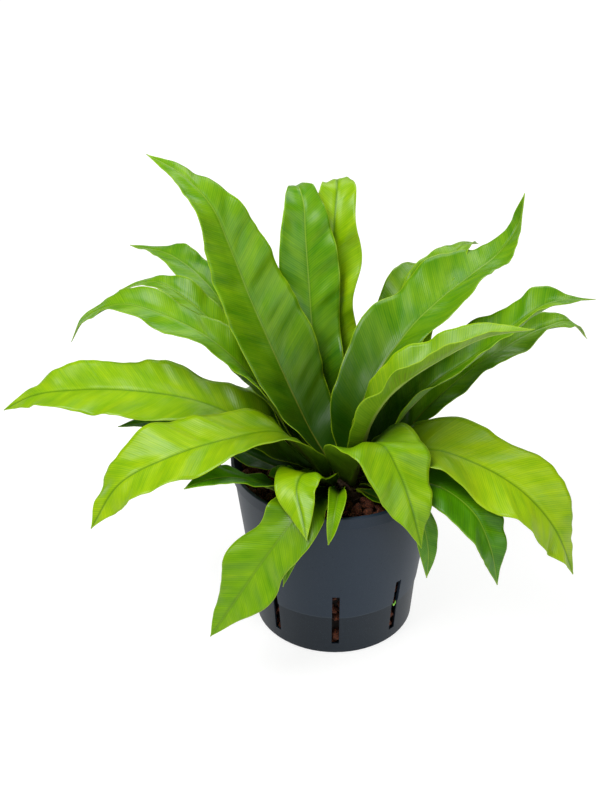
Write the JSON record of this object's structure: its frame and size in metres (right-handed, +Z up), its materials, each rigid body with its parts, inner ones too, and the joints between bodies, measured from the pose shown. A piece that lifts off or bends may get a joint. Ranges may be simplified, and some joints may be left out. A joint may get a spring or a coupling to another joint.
{
  "type": "potted birds nest fern",
  "caption": "Bird's nest fern with arching strap-shaped fronds, growing in expanded clay granules in a round blue-grey plastic culture pot.",
  "frame": {"origin": "centre of the pot's underside", "axes": "+Z up along the pot's axis, -Y to the front, where the fronds hang lowest over the rim, +X to the right seen from the front"},
  "size_m": [0.3715, 0.2419, 0.2856],
  "materials": {
    "pot_plastic": "matte moulded",
    "expanded_clay": "rough fired",
    "fern_root": "fibrous",
    "rhizome_scale": "scaly",
    "fern_leaf": "satin"
  },
  "bodies": {
    "root": {"culture_pot": "pot_plastic", "clay_granules": "expanded_clay", "root_ball": "fern_root", "rhizome_crown": "rhizome_scale", "frond_01": "fern_leaf", "frond_02": "fern_leaf", "frond_03": "fern_leaf", "frond_04": "fern_leaf", "frond_05": "fern_leaf", "frond_06": "fern_leaf", "frond_07": "fern_leaf", "frond_08": "fern_leaf", "frond_09": "fern_leaf", "frond_10": "fern_leaf", "frond_11": "fern_leaf", "frond_12": "fern_leaf", "frond_13": "fern_leaf", "frond_14": "fern_leaf", "frond_15": "fern_leaf", "frond_16": "fern_leaf", "frond_17": "fern_leaf", "frond_18": "fern_leaf", "frond_19": "fern_leaf", "frond_20": "fern_leaf", "frond_21": "fern_leaf", "frond_22": "fern_leaf", "frond_23": "fern_leaf", "frond_24": "fern_leaf", "frond_25": "fern_leaf", "frond_26": "fern_leaf", "frond_27": "fern_leaf", "frond_28": "fern_leaf", "young_frond_1": "fern_leaf", "young_frond_2": "fern_leaf"}
  },
  "joints": []
}
